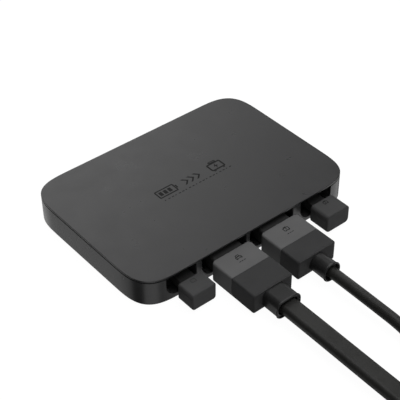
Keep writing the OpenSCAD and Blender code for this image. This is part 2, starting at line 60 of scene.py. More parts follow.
def add_camera():
    az, el, roll = (math.radians(a) for a in (CAMERA_AZIMUTH, CAMERA_ELEVATION, CAMERA_ROLL))
    back = Vector((math.sin(az) * math.cos(el), -math.cos(az) * math.cos(el), math.sin(el)))
    level = Vector((0, 0, 1)).cross(back).normalized()
    right = math.cos(roll) * level + math.sin(roll) * back.cross(level)
    up = back.cross(right)
    place = back * CAMERA_DISTANCE + right * CAMERA_OFFSET[0] + up * CAMERA_OFFSET[1]
    camera = bpy.data.objects.new("camera", bpy.data.cameras.new("camera"))
    camera.data.lens = CAMERA_LENS
    camera.data.sensor_width = 36
    camera.data.clip_end = 20
    camera.matrix_world = Matrix.Translation(place * MM) @ Matrix((right, up, back)).transposed().to_4x4()
    bpy.context.scene.collection.objects.link(camera)
    bpy.context.scene.camera = camera


# ---------------------------------------------------------------- materials


class Nodes:
    """A new material's node tree, with its surface shader and shared coordinates."""

    def __init__(self, name, colour, roughness, metallic=0.0, specular=0.5):
        self.material = bpy.data.materials.new(name)
        self.material.use_nodes = True
        self.tree = self.material.node_tree
        self.shader = self.tree.nodes["Principled BSDF"]
        self.shader.inputs["Base Color"].default_value = (*colour, 1)
        self.shader.inputs["Roughness"].default_value = roughness
        self.shader.inputs["Metallic"].default_value = metallic
        self.shader.inputs["Specular IOR Level"].default_value = specular
        self.colour = colour
        self.where = self.add("ShaderNodeTexCoord").outputs["Object"]

    def add(self, kind, **values):
        node = self.tree.nodes.new(kind)
        for key, value in values.items():
            setattr(node, key, value)
        return node

    def link(self, out, into):
        self.tree.links.new(out, into)

    def noise(self, scale, detail=2.0, roughness=0.5, stretch=None):
        """Noise whose features are about 1/scale metres across."""
        texture = self.add("ShaderNodeTexNoise")
        texture.inputs["Scale"].default_value = scale
        texture.inputs["Detail"].default_value = detail
        texture.inputs["Roughness"].default_value = roughness
        where = self.where
        if stretch:
            mapping = self.add("ShaderNodeMapping")
            mapping.inputs["Scale"].default_value = stretch
            self.link(where, mapping.inputs["Vector"])
            where = mapping.outputs["Vector"]
        self.link(where, texture.inputs["Vector"])
        return texture.outputs["Fac"]

    def spread(self, value, low, high):
        """value from 0.3 to 0.7 mapped onto low to high."""
        node = self.add("ShaderNodeMapRange")
        node.inputs["From Min"].default_value = 0.3
        node.inputs["From Max"].default_value = 0.7
        node.inputs["To Min"].default_value = low
        node.inputs["To Max"].default_value = high
        self.link(value, node.inputs["Value"])
        return node.outputs["Result"]

    def vary_colour(self, value, amount):
        """The base colour from amount darker to amount lighter as value varies."""
        ramp = self.add("ShaderNodeValToRGB")
        for element, place, side in zip(ramp.color_ramp.elements, (0.3, 0.7), (1 - amount, 1 + amount)):
            element.position = place
            element.color = (*(c * side for c in self.colour), 1)
        self.link(value, ramp.inputs["Fac"])
        self.link(ramp.outputs["Color"], self.shader.inputs["Base Color"])

    def vary_roughness(self, value, low, high):
        self.link(self.spread(value, low, high), self.shader.inputs["Roughness"])

    def bump(self, value, height, into=None):
        """Height in metres between value 0 and 1."""
        node = self.add("ShaderNodeBump")
        node.inputs["Distance"].default_value = height
        self.link(value, node.inputs["Height"])
        if into is not None:
            self.link(into, node.inputs["Normal"])
        self.link(node.outputs["Normal"], self.shader.inputs["Normal"])
        return node.outputs["Normal"]


def powder_coat(name, colour, roughness):
    m = Nodes(name, colour, roughness)
    m.vary_colour(m.noise(14, 3), 0.05)
    m.vary_roughness(m.noise(60, 4), roughness - 0.04, roughness + 0.04)
    orange_peel = m.bump(m.noise(420, 1), 0.000012)
    m.bump(m.noise(2600, 2, 0.6), 0.00001, orange_peel)
    return m.material


def moulded(name, colour, roughness, grain=0.00001, specular=0.5):
    m = Nodes(name, colour, roughness, specular=specular)
    m.vary_colour(m.noise(40, 3), 0.06)
    m.vary_roughness(m.noise(90, 4), roughness - 0.05, roughness + 0.05)
    m.bump(m.noise(3200, 2, 0.6), grain)
    return m.material


def cable_sheath(name, colour, roughness):
    m = Nodes(name, colour, roughness)
    m.vary_colour(m.noise(22, 4), 0.16)
    m.vary_roughness(m.noise(70, 5, 0.7), roughness - 0.08, roughness + 0.1)
    waves = m.bump(m.noise(55, 2), 0.00012)
    m.bump(m.noise(1800, 3, 0.6), 0.00002, waves)
    return m.material


def plated(name, colour, roughness, brushed=(1, 1, 1)):
    m = Nodes(name, colour, roughness, metallic=1.0)
    m.vary_colour(m.noise(120, 3), 0.08)
    m.vary_roughness(m.noise(300, 4), roughness - 0.08, roughness + 0.12)
    m.bump(m.noise(2000, 3, 0.7, brushed), 0.000012)
    return m.material


def woven_strap(name, colour):
    m = Nodes(name, colour, 0.85, specular=0.2)
    m.vary_colour(m.noise(600, 4), 0.35)
    m.bump(m.noise(1500, 3, 0.8), 0.0003)
    return m.material


def circuit_board(name, colour):
    m = Nodes(name, colour, 0.4)
    m.vary_colour(m.noise(240, 1, 0.3, (1, 0.15, 1)), 0.25)
    m.vary_roughness(m.noise(150, 3), 0.3, 0.5)
    m.bump(m.noise(240, 1, 0.3, (1, 0.15, 1)), 0.00004)
    return m.material


def make_materials():
    return {
        "housing": powder_coat("housing_coat", (0.055, 0.055, 0.056), 0.24),
        "cover": powder_coat("cover_coat", (0.048, 0.048, 0.049), 0.31),
        "mark": moulded("dark_print", (0.008, 0.008, 0.008), 0.55, specular=0.2),
        "faint_mark": moulded("faint_print", (0.03, 0.03, 0.03), 0.55, specular=0.3),
        "rubber": moulded("seal_rubber", (0.02, 0.02, 0.02), 0.6),
        "steel": plated("zinc_steel", (0.5, 0.5, 0.52), 0.35),
        "board": circuit_board("solder_resist", (0.02, 0.14, 0.07)),
        "chip": moulded("epoxy_case", (0.02, 0.02, 0.022), 0.45),
        "pad": moulded("thermal_silicone", (0.3, 0.34, 0.4), 0.7),
        "ferrite": moulded("ferrite", (0.045, 0.043, 0.042), 0.6, 0.00003),
        "copper": plated("copper", (0.72, 0.33, 0.16), 0.35),
        "capacitor": moulded("capacitor_sleeve", (0.02, 0.02, 0.045), 0.25),
        "shield": plated("tin_shield", (0.62, 0.62, 0.63), 0.3),
        "socket": moulded("socket_nylon", (0.026, 0.026, 0.026), 0.5),
        "contact": plated("gold_contact", (0.85, 0.62, 0.25), 0.25),
        "shell_light": moulded("shell_light", (0.165, 0.165, 0.166), 0.6, specular=0.12),
        "shell_dark": moulded("shell_dark", (0.06, 0.06, 0.061), 0.6, specular=0.12),
        "boot": moulded("boot_rubber", (0.022, 0.022, 0.022), 0.36, specular=0.4),
        "cord": cable_sheath("cable_sheath", (0.026, 0.0258, 0.024), 0.42),
        "strap": woven_strap("tie_fabric", (0.02, 0.02, 0.02)),
        "lug_red": moulded("lug_sleeve_red", (0.42, 0.03, 0.02), 0.4),
        "lug": plated("tinned_lug", (0.62, 0.6, 0.58), 0.3),
        "cap": moulded("cap_rubber", (0.083, 0.083, 0.084), 0.6, specular=0.15),
    }


# ---------------------------------------------------------------- mesh tools


def add_piece(name, skin, body, slot, replaces=(), material=None, smooth_angle=40, place=None):
    """A mesh piece from (points in millimetres, faces), riding on a body."""
    mesh = mesh_of(skin)
    if place is not None:
        mesh.transform(place)
    return add_mesh(name, mesh, body, slot, replaces, material, smooth_angle)


def clean_normals(mesh):
    work = bmesh.new()
    work.from_mesh(mesh)
    bmesh.ops.recalc_face_normals(work, faces=work.faces)
    work.to_mesh(mesh)
    work.free()


def add_mesh(name, mesh, body, slot, replaces=(), material=None, smooth_angle=40):
    """A piece from a finished mesh, with smooth faces whose flat parts stay flat."""
    mesh.polygons.foreach_set("use_smooth", [True] * len(mesh.polygons))
    mesh.set_sharp_from_angle(angle=math.radians(smooth_angle))
    mesh.materials.clear()
    mesh.materials.append(materials[material or slot])
    piece = bpy.data.objects.new(name, mesh)
    bpy.context.scene.collection.objects.link(piece)
    even = piece.modifiers.new("even_normals", "WEIGHTED_NORMAL")
    even.keep_sharp = True
    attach(piece, body)
    if replaces:
        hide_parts(*replaces)
    return piece


def loft(rings, wrap=False):
    """(points, faces) of a skin through rings that all have the same number of points. Its two
    ends are closed, or with wrap the last ring joins the first."""
    count = len(rings[0])
    points = [p for ring in rings for p in ring]
    steps = len(rings) if wrap else len(rings) - 1
    faces = []
    for j in range(steps):
        a, b = j * count, (j + 1) % len(rings) * count
        for i in range(count):
            k = (i + 1) % count
            faces.append((a + i, a + k, b + k, b + i))
    if not wrap:
        faces.append(tuple(range(count)))
        faces.append(tuple(range((len(rings) - 1) * count, len(rings) * count)))
    return points, faces


def joined(*parts):
    """(points, faces) of several skins together."""
    points, faces = [], []
    for more_points, more_faces in parts:
        start = len(points)
        points += list(more_points)
        faces += [tuple(start + i for i in face) for face in more_faces]
    return points, faces


def flat_ring(outline, z):
    return [(x, y, z) for x, y in outline]


def plate(outline, z0, z1):
    return loft([flat_ring(outline, z0), flat_ring(outline, z1)])


def moved(skin, dx=0, dy=0, dz=0):
    points, faces = skin
    return [(x + dx, y + dy, z + dz) for x, y, z in points], faces


def frame_plate(outer, inner, z0, z1):
    """Closed plate between two outlines that have the same number of points."""
    corners = ((outer, z0), (outer, z1), (inner, z1), (inner, z0))
    return loft([flat_ring(outline, z) for outline, z in corners], wrap=True)


def round_rect(w, h, r, steps=6, cx=0, cy=0):
    """Counterclockwise outline of a rectangle with round corners."""
    outline = []
    for quarter, (sx, sy) in enumerate(((1, 1), (-1, 1), (-1, -1), (1, -1))):
        x, y = cx + sx * (w / 2 - r), cy + sy * (h / 2 - r)
        for i in range(steps + 1):
            a = math.radians(90 * (quarter + i / steps))
            outline.append((x + r * math.cos(a), y + r * math.sin(a)))
    return outline


def disc(r, steps=40, cx=0, cy=0):
    angles = [math.tau * i / steps for i in range(steps)]
    return [(cx + r * math.cos(a), cy + r * math.sin(a)) for a in angles]


def cylinder(x, y, z0, z1, r):
    return plate(disc(r, cx=x, cy=y), z0, z1)


def rounded(start, end, r, steps=5):
    """Stations (position, how far the section moves in) of a rounded edge at end, coming from start."""
    way = 1 if end > start else -1
    angles = [math.radians(90 * i / steps) for i in range(steps + 1)]
    return [(end - way * r * (1 - math.sin(a)), r * (1 - math.cos(a))) for a in angles]


def along_y(stations, steps=6):
    """Rings of a body along Y through stations (y, width, height, corner radius, height of its middle)."""
    rings = []
    for y, w, h, r, *middle in stations:
        rings.append([(u, y, v) for u, v in round_rect(w, h, r, steps, 0, *middle)])
    return rings


def mesh_of(skin):
    """A mesh with outward normals from (points in millimetres, faces)."""
    points, faces = skin
    mesh = bpy.data.meshes.new("skin")
    mesh.from_pydata([tuple(c * MM for c in p) for p in points], [], faces)
    clean_normals(mesh)
    return mesh


def with_skin(mesh, skin):
    """The mesh with another closed skin beside it."""
    work = bmesh.new()
    work.from_mesh(mesh)
    work.from_mesh(mesh_of(skin))
    work.to_mesh(mesh)
    work.free()
    return mesh


def cut(mesh, cutter_skin):
    """The mesh less a closed cutter, given in millimetres."""
    cutter = bpy.data.objects.new("cutter", mesh_of(cutter_skin))
    base = bpy.data.objects.new("base", mesh)
    for each in (cutter, base):
        bpy.context.scene.collection.objects.link(each)
    boolean = base.modifiers.new("cut", "BOOLEAN")
    boolean.operation = "DIFFERENCE"
    boolean.solver = "EXACT"
    boolean.object = cutter
    depsgraph = bpy.context.evaluated_depsgraph_get()
    result = bpy.data.meshes.new_from_object(base.evaluated_get(depsgraph))
    for each in (cutter, base):
        bpy.data.objects.remove(each)
    return result


# ---------------------------------------------------------------- housing and cover

# The corners' reach, and their superellipse's exponent
CORNER_R, CORNER_N = 44.4, 3.5
WALL_T, FLOOR_T = 3.0, 3.4
# The shadow gap under the cover
RIM_INSET = 1.3
GAP_H = 0.8
# Along Y: the port side, the pockets' back wall, and the back of the block they are cut into
PORT_SIDE = -85.0
POCKET_BACK = -74.0
BLOCK_BACK = -65.4
# The pockets' left and right ends along X, their floor, lower corners and widened mouth
POCKETS = ((-96.5, -65.2), (-58.6, -9.2), (-4.8, 45.6), (55.4, 93))
POCKET_Z = 5.0
POCKET_R = 11.0
FLARE = 0.9
SOCKETS = ("input_socket", "output_socket", "left_socket", "right_socket")
# Room for a socket's outline in the back wall, all round
SOCKET_ROOM = 0.1
COVER_SCREWS = ((106, -48), (-106, -48), (106, 52), (-106, 52), (40, 74), (-40, 74))
BOARD_SCREWS = ((90, -40), (-90, -40), (90, 60), (-90, 60), (0, 62), (0, -44))
MOUNTS = ((90, 50), (-90, 50), (90, -50), (-90, -50))
SCREW_RECESS_R, SCREW_RECESS_D = 3.1, 3
MOUNT_R, MOUNT_D = 1.65, 3.2
COVER_POST_R, COVER_POST_TOP = 4.2, 19.5
BOARD_POST_R, BOARD_POST_TOP = 3.5, 8
# Cooling grooves under the floor
GROOVES_X = range(-66, 67, 12)
GROOVE_W, GROOVE_L, GROOVE_R, GROOVE_D = 6, 100, 2.99, 1.4
# The cover's rounded edge, the skirt that locates it, and its screw posts
COVER_EDGE_R = 0.35
SKIRT_PLAY, SKIRT_IN = 0.3, 2.0
LID_POST_R, LID_POST_Z = 4, 19.6


def body_outline(inset=0.0, steps=24):
    """The housing's outline, moved in by inset: four superellipse corners."""
    half = Vector(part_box("top_cover")[1]) / MM
    cx, cy = half.x - CORNER_R, half.y - CORNER_R
    r = CORNER_R - inset
    outline = []
    for sx, sy, flip in ((1, 1, False), (-1, 1, True), (-1, -1, False), (1, -1, True)):
        for i in range(steps + 1):
            t = math.radians(90 * (steps - i if flip else i) / steps)
            x = cx + r * max(math.cos(t), 0) ** (2 / CORNER_N)
            y = cy + r * max(math.sin(t), 0) ** (2 / CORNER_N)
            outline.append((sx * x, sy * y))
    return outline


def pocket_outline(x0, x1, z0, r, top, steps=8):
    """Outline in X and Z of a pocket: square above, round at the two lower corners."""
    outline = [(x1, top), (x0, top)]
    for cx, start in ((x0 + r, 180), (x1 - r, 270)):
        for i in range(steps + 1):
            a = math.radians(start + 90 * i / steps)
            outline.append((cx + r * math.cos(a), z0 + r + r * math.sin(a)))
    return outline


def pocket_cutter(x0, x1, top):
    """A pocket whose mouth widens like a trumpet."""
    steps = 6
    stations = [(POCKET_BACK, 0.0), (PORT_SIDE + FLARE, 0.0)]
    for i in range(1, steps + 1):
        a = math.radians(90 * i / steps)
        stations.append((PORT_SIDE + FLARE * (1 - math.sin(a)), FLARE * (1 - math.cos(a))))
    stations.append((PORT_SIDE - 1, FLARE))
    rings = []
    for y, wider in stations:
        outline = pocket_outline(x0 - wider, x1 + wider, POCKET_Z - wider, POCKET_R + wider, top)
        rings.append([(x, y, z) for x, z in outline])
    return loft(rings)


def socket_window(node):
    """Opening for a socket through the pocket's back wall."""
    low, high = (Vector(c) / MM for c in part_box(node))
    middle, size = (low + high) / 2, high - low
    ring = round_rect(size.x + 2 * SOCKET_ROOM, size.z + 2 * SOCKET_ROOM, 3, 5, middle.x, middle.z)
    return loft([[(x, y, z) for x, z in ring] for y in (POCKET_BACK - 1, BLOCK_BACK + 1)])


def housing_block(rim_top):
    """The housing's solid outside: rounded foot, side band, shadow gap and rim."""
    band_top = rim_top - GAP_H
    # Heights, and how far the outline moves in there
    profile = [
        (0, 1.9), (0.12, 1.1), (0.5, 0.45), (1.1, 0.1), (1.9, 0),
        (band_top - 0.35, 0), (band_top - 0.1, 0.1), (band_top, 0.35),
        (band_top, RIM_INSET), (rim_top, RIM_INSET),
    ]
    return loft([flat_ring(body_outline(inset), z) for z, inset in profile])


def make_housing():
    rim_top = (Vector(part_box("housing")[1]) / MM).z
    mesh = mesh_of(housing_block(rim_top))
    inside = [(x, max(y, BLOCK_BACK)) for x, y in body_outline(WALL_T)]
    mesh = cut(mesh, plate(inside, FLOOR_T, rim_top + 2))
    mesh = cut(mesh, joined(*(pocket_cutter(x0, x1, rim_top + 1) for x0, x1 in POCKETS)))
    mesh = cut(mesh, joined(*(socket_window(node) for node in SOCKETS)))
    bores = [plate(round_rect(GROOVE_W, GROOVE_L, GROOVE_R, 6, x, 0), -1, GROOVE_D) for x in GROOVES_X]
    bores += [cylinder(x, y, -1, SCREW_RECESS_D, SCREW_RECESS_R) for x, y in COVER_SCREWS]
    bores += [cylinder(x, y, -1, MOUNT_D, MOUNT_R) for x, y in MOUNTS]
    mesh = cut(mesh, joined(*bores))
    posts = [cylinder(x, y, FLOOR_T - 0.2, COVER_POST_TOP, COVER_POST_R) for x, y in COVER_SCREWS]
    posts += [cylinder(x, y, FLOOR_T - 0.2, BOARD_POST_TOP, BOARD_POST_R) for x, y in BOARD_SCREWS]
    mesh = with_skin(mesh, joined(*posts))
    add_mesh("housing_shell", mesh, "housing", "housing", ("housing",), smooth_angle=32)


def make_cover():
    top = (Vector(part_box("top_cover")[1]) / MM).z
    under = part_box("housing")[1][2] / MM
    # Heights, and how far the outline moves in there
    edge = [(under, 2.0), (under, 0.4), (under + 0.12, 0.12), (under + 0.35, 0)]
    edge += rounded(under, top, COVER_EDGE_R)
    edge += [(top, 2.0)]
    lid = loft([flat_ring(body_outline(inset), z) for z, inset in edge])
    outer, inner = (
        [(x, max(y, BLOCK_BACK + inset)) for x, y in body_outline(WALL_T + inset)]
        for inset in (SKIRT_PLAY, SKIRT_IN)
    )
    skirt = frame_plate(outer, inner, under - 1, under + 0.05)
    posts = [cylinder(x, y, LID_POST_Z, under + 0.05, LID_POST_R) for x, y in COVER_SCREWS]
    add_piece("cover_plate", joined(lid, skirt, *posts), "housing", "cover", ("top_cover",))


# ---------------------------------------------------------------- printed pictograms

# The print's thickness above the surface, and how far it reaches into it
PRINT_T = 0.03
PRINT_IN = 0.01


def pictogram(name, shapes, body, slot, material, z, cx, cy):
    """Closed plates of print on a flat top at height z, about the point cx, cy."""
    skins = [moved(shape, cx, cy, z) for shape in shapes]
    return add_piece(name, joined(*skins), body, slot, material=material)


def solid(*outline):
    return plate(list(outline), -PRINT_IN, PRINT_T)


def solid_rect(x0, y0, x1, y1):
    return solid((x0, y0), (x1, y0), (x1, y1), (x0, y1))


def line_rect(w, h, r, line, cx=0, cy=0):
    outer = round_rect(w, h, r, 5, cx, cy)
    inner = round_rect(w - 2 * line, h - 2 * line, max(r - line, 0.05), 5, cx, cy)
    return frame_plate(outer, inner, -PRINT_IN, PRINT_T)


def bolt(size, cx=0, cy=0):
    outline = ((0.12, 0.5), (-0.32, -0.08), (-0.02, -0.08), (-0.12, -0.5), (0.32, 0.08), (0.02, 0.08))
    return solid(*((cx + x * size, cy + y * size) for x, y in outline))


def chevron(x, h, line):
    d = h / 2
    return solid((x, d), (x + line, d), (x + d + line, 0), (x + line, -d), (x, -d), (x + d, 0))


def car_icon(w):
    """Front of a car: roof, windscreen frame, body with two lamps, and wheels."""
    u = w / 10
    cabin, window = (
        [(x * u, y * u) for x, y in ((-low, z0), (low, z0), (high, z1), (-high, z1))]
        for low, high, z0, z1 in ((3.2, 2.4, 0.6, 3.6), (2.1, 1.6, 1.3, 2.7))
    )
    return [
        frame_plate(cabin, window, -PRINT_IN, PRINT_T),
        line_rect(9.4 * u, 3.6 * u, 1.0 * u, 0.85 * u, 0, -1.2 * u),
        solid_rect(-3.3 * u, -1.6 * u, -1.9 * u, -0.8 * u),
        solid_rect(1.9 * u, -1.6 * u, 3.3 * u, -0.8 * u),
        solid_rect(-4.2 * u, -4.0 * u, -2.6 * u, -2.9 * u),
        solid_rect(2.6 * u, -4.0 * u, 4.2 * u, -2.9 * u),
    ]


def station_icon(w, line=0.85):
    """Power station: a box with a handle and feet, and a bolt in the middle."""
    u = w / 10
    return [
        line_rect(9.4 * u, 6.4 * u, 1.1 * u, line * u, 0, -0.2 * u),
        line_rect(4.8 * u, 1.5 * u, 0.5 * u, 0.6 * u, 0, 3.7 * u),
        bolt(4.4 * u, 0, -0.2 * u),
        solid_rect(-3.6 * u, -4.1 * u, -2.2 * u, -3.5 * u),
        solid_rect(2.2 * u, -4.1 * u, 3.6 * u, -3.5 * u),
    ]


def battery_icon(w, h, line):
    """Battery lying on its side, with its pole on the right and three charge bars."""
    bar = (w - 4 * line) / 4.4
    shapes = [line_rect(w, h, 1.3, line), solid_rect(w / 2 + 0.3, -h / 5, w / 2 + 1.7, h / 5)]
    for i in range(3):
        x = -w / 2 + 2 * line + i * (bar * 1.42)
        shapes.append(solid_rect(x, -h / 2 + 2 * line, x + bar, h / 2 - 2 * line))
    return shapes


def make_cover_mark():
    """Row of pictograms on the cover: battery, chevrons, power station, and a dashed line below."""
    dashes, dash_start, dash_pitch, dash_low, dash_high = 20, -37.6, 3.96, -9.9, -8.9
    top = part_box("top_cover")[1][2] / MM
    shapes = [moved(s, -28.6, 0, 0) for s in battery_icon(21, 11, 1.4)]
    shapes += [chevron(x, 8.6, 2.2) for x in (-9.6, -2.8, 4.0)]
    shapes += [moved(s, 29.4, 0.4, 0) for s in station_icon(17, 1.0)]
    for i in range(dashes):
        x = dash_start + i * dash_pitch
        shapes.append(solid_rect(x, dash_low, x + (2.4 if i % 3 else 1.4), dash_high))
    pictogram("cover_pictograms", shapes, "housing", "socket", "mark", top, 1.5, 3.2)


# ---------------------------------------------------------------- plugs and caps

# Where a plug's two shells meet, from its mating face, and the groove between them
SHELL_SEAM = 26.0
SEAM_GROOVE = 0.1
SEAM_EDGE = 0.12
SHELL_WALL = 2.6
SHELL_CORNER = 3.5
EDGE_R = 2.0
NOSE_W, NOSE_H, NOSE_R = 33.1, 14.7, 2.5
# The back face of the caps, towards the housing, and their noses
CAP_BACK = -90.6
CAP_NOSE_W, CAP_NOSE_H, CAP_NOSE_R = 16, 9, 1.5


def front_shell(w, h):
    """Light half of a plug: round at its mating corners, and open for the insert."""
    # Positions along Y, and how far the sides and the top and bottom move in there
    outer = [(-SHELL_SEAM, SEAM_EDGE, SEAM_EDGE), (-SHELL_SEAM + SEAM_EDGE, 0, 0), (-SHELL_CORNER, 0, 0)]
    steps, turn, top_edge = 7, 80, 0.5
    for i in range(1, steps + 1):
        a = math.radians(turn * i / steps)
        side_in = SHELL_CORNER * (1 - math.cos(a))
        y = -SHELL_CORNER + SHELL_CORNER * math.sin(a)
        outer.append((y, side_in, max(0, y + top_edge)))
    outer.append((0, outer[-1][1] + 0.35, 0.6))
    rings = [(y, w - 2 * side_in, h - 2 * top_in, EDGE_R) for y, side_in, top_in in outer]
    rings += [(y, NOSE_W, NOSE_H, NOSE_R) for y in (0, -SHELL_SEAM)]
    return loft(along_y(rings), wrap=True)


def rear_shell(w, h, length):
    """Dark half of a plug: a hollow box, open at the seam and closed at the back, with a crisp
    top edge there."""
    corner, crisp = 1.9, 0.3
    rings = [(-length, w - 9, h - 9, 1.0)]
    for y, inset in reversed(rounded(0, -length, corner, 6)):
        top_in = min(inset, crisp)
        r = max(EDGE_R - inset, 0.5)
        rings.append((y, w - 2 * inset, h - inset - top_in, r, (inset - top_in) / 2))
    front = -SHELL_SEAM - SEAM_GROOVE
    rings += [(front - SEAM_EDGE, w, h, EDGE_R), (front, w - 2 * SEAM_EDGE, h - 2 * SEAM_EDGE, EDGE_R)]
    rings += [(y, w - 2 * SHELL_WALL, h - 2 * SHELL_WALL, 1) for y in (front, -length + SHELL_WALL)]
    return loft(along_y(rings))


def boot(sections, hollow, floor_y):
    """Strain relief through sections (y, w, h, r), with a round lip and a deep recess at its end."""
    lip = 1.0
    start_y, start_w, start_h, start_r = sections[0]
    end_y, w, h, r = sections[-1]
    rings = [(start_y, start_w - 4, start_h - 4, start_r - 2)] + sections[:-1]
    rings += [(y, w - 2 * inset, h - 2 * inset, r - inset) for y, inset in rounded(0, end_y, lip, 4)]
    for i in range(1, 4):
        a = math.radians(30 * i)
        inward = 2 * lip + 2 * lip * math.sin(a) * 0.6
        corner = r - lip - lip * math.sin(a) * 0.5
        rings.append((end_y + lip * (1 - math.cos(a)), w - inward, h - inward, corner))
    hollow_w, hollow_h, hollow_r = hollow
    rings += [(y, hollow_w, hollow_h, hollow_r) for y in (end_y + 1.4, floor_y + 0.6)]
    rings.append((floor_y + 1.2, hollow_w - 1, hollow_h - 1, hollow_r - 0.5))
    rings.append((floor_y + 1.2, hollow_w - 6, hollow_h - 5, max(hollow_r - 3, 0.4)))
    return loft(along_y(rings, 8))


def flat_boot(length):
    sections = [
        (0.05, 24.2, 17.8, 5.6), (-8, 24.5, 17.9, 5.9), (-length + 2.6, 25.0, 18.0, 6.4),
        (-length + 1.2, 26.4, 18.4, 7.0), (-length, 27.0, 18.6, 7.4),
    ]
    return boot(sections, (21.4, 13.0, 5.8), -length + 3)


def round_boot(length):
    sections = [
        (0.05, 17.6, 17.6, 8.7), (-8, 17.8, 17.8, 8.8), (-length + 2.6, 18.2, 18.2, 9.0),
        (-length + 1.2, 19.0, 19.0, 9.4), (-length, 19.4, 19.4, 9.6),
    ]
    return boot(sections, (14.8, 14.8, 7.3), -length + 3)


def plug_place(node, heading=0.0):
    """Matrix from a plug's own frame, with its mating face at 0 and its cable along -Y."""
    low, high = (Vector(c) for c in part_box(node))
    middle = (low + high) / 2
    face = Vector((middle.x, high.y, middle.z)) if heading == 0 else Vector((high.x, middle.y, middle.z))
    return Matrix.Translation(face) @ Matrix.Rotation(math.radians(heading), 4, "Z")


def size_along(node, axis):
    low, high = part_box(node)
    return (high[axis] - low[axis]) / MM


def plug_icon(icon, h):
    """An icon on a plug's upper face, with three dashes in place of a caption."""
    middle_y, dash_l, dash_low, dash_high = -9.5, 1.9, -6.2, -5.5
    dashes = [solid_rect(x, dash_low, x + dash_l, dash_high) for x in (-3.6, -1.0, 1.6)]
    return joined(*(moved(shape, 0, middle_y, h / 2) for shape in icon + dashes))


def make_plug(prefix, body, flat, heading=0.0, icon=None):
    front, rear, relief = (f"{prefix}_{part}" for part in ("front_shell", "rear_shell", "boot"))
    place = plug_place(front, heading)
    across, along = (0, 1) if heading == 0 else (1, 0)
    w, h = size_along(front, across), size_along(front, 2)
    length = SHELL_SEAM + SEAM_GROOVE + size_along(rear, along)
    boot_l = size_along(relief, along)
    add_piece(f"{prefix}_plug_front", front_shell(w, h), body, "shell_light", (front,), place=place)
    add_piece(f"{prefix}_plug_rear", rear_shell(w, h, length), body, "shell_dark", (rear,), place=place)
    skin = moved((flat_boot if flat else round_boot)(boot_l), 0, -length, 0)
    add_piece(f"{prefix}_strain_relief", skin, body, "boot", (relief,), place=place, smooth_angle=60)
    section = round_rect(FLAT_W, FLAT_T, FLAT_R, 5) if flat else disc(ROUND_D / 2, 24)
    end = -length - boot_l
    root = loft([[(u, y, v) for u, v in section] for y in (end + 4.5, end + 0.02)])
    add_piece(f"{prefix}_lead_root", root, body, "cord", place=place, smooth_angle=60)
    if icon:
        add_piece(f"{prefix}_plug_icon", plug_icon(icon, h), body, "socket", material="mark", place=place)


def cap_ring(w, h, top_r, low_r, inset, groove):
    """Section of a cap in X and Z: soft upper edges, rounder lower ones, a parting line near the top."""
    line_z = h / 2 - 4.6
    top_r, low_r = max(top_r - inset, 0.35), max(low_r - inset, 0.35)
    half_w, half_h = w / 2 - inset, h / 2 - inset
    line = ((0.45, 0), (0.2, groove), (-0.2, groove), (-0.45, 0))
    ring = []

    def add_corner(sx, sz, r, start):
        for i in range(7):
            a = math.radians(start + 15 * i)
            ring.append((sx * (half_w - r) + r * math.cos(a), sz * (half_h - r) + r * math.sin(a)))

    add_corner(1, 1, top_r, 0)
    add_corner(-1, 1, top_r, 90)
    ring += [(-half_w + depth, line_z + z) for z, depth in line]
    add_corner(-1, -1, low_r, 180)
    add_corner(1, -1, low_r, 270)
    ring += [(half_w - depth, line_z + z) for z, depth in reversed(line)]
    return ring


def make_cap(side, top_r, low_r, icon, print_material):
    """Port cap: a soft block with a parting line, on a nose that fits the small socket."""
    body = f"{side}_cap"
    low, high = (Vector(c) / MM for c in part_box(body))
    x, z, front = (low.x + high.x) / 2, (low.z + high.z) / 2, low.y
    w, h = high.x - low.x, high.z - low.z
    # Positions along Y, how far the section moves in there, and the parting line's depth
    stations = [
        (CAP_BACK, 1.2, 0.0), (CAP_BACK - 0.3, 0.5, 0.1), (CAP_BACK - 1.0, 0.0, 0.3),
        (front + 1.4, 0.0, 0.3), (front + 0.9, 0.12, 0.45), (front + 0.45, 0.42, 0.5),
        (front + 0.12, 0.9, 0.3), (front, 1.6, 0.0),
    ]
    block = []
    for y, inset, groove in stations:
        block.append([(x + u, y, z + v) for u, v in cap_ring(w, h, top_r, low_r, inset, groove)])
    socket_low, socket_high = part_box(f"{side}_socket")
    nose_z = (socket_low[2] + socket_high[2]) / 2 / MM
    nose = []
    for y, inset in ((CAP_BACK - 1, 0), (high.y - 0.8, 0), (high.y - 0.2, 0.3), (high.y, 0.9), (high.y, 2.5)):
        outline = round_rect(CAP_NOSE_W - 2 * inset, CAP_NOSE_H - 2 * inset, max(CAP_NOSE_R - inset, 0.4))
        nose.append([(x + u, y, nose_z + v) for u, v in outline])
    add_piece(f"{side}_port_cap", loft(block), body, "cap", (body,))
    add_piece(f"{side}_cap_nose", loft(nose), body, "cap", material="boot")
    pictogram(f"{side}_cap_icon", icon, body, "socket", print_material, z + h / 2, x, CAP_BACK - 5.0)


def port_icon(w):
    """Small port: a round frame with two rows of contacts."""
    u = w / 10
    dots = [
        solid_rect(x * u - 0.3 * u, y * u - 0.3 * u, x * u + 0.5 * u, y * u + 0.5 * u)
        for x in (-2.2, 0, 2.2) for y in (-1.3, 1.1)
    ]
    return [line_rect(9.4 * u, 7.6 * u, 1.8 * u, 1.1 * u)] + dots


def make_plugs_and_caps():
    make_plug("input", "input_lead", True, icon=car_icon(7.0))
    make_plug("output", "output_lead", False, icon=station_icon(6.6, 1.15))
    make_plug("station", "output_lead", False, heading=-90.0)
    make_cap("left", 2.0, 3.0, port_icon(5.6), "faint_mark")
    make_cap("right", 3.4, 4.2, station_icon(5.4, 1.15), "mark")


# ---------------------------------------------------------------- ties and lugs

TIE_T = 0.6
# Room between a tie and the turns, and the tie's corners
TIE_ROOM = 0.65
TIE_CORNER = 3.0
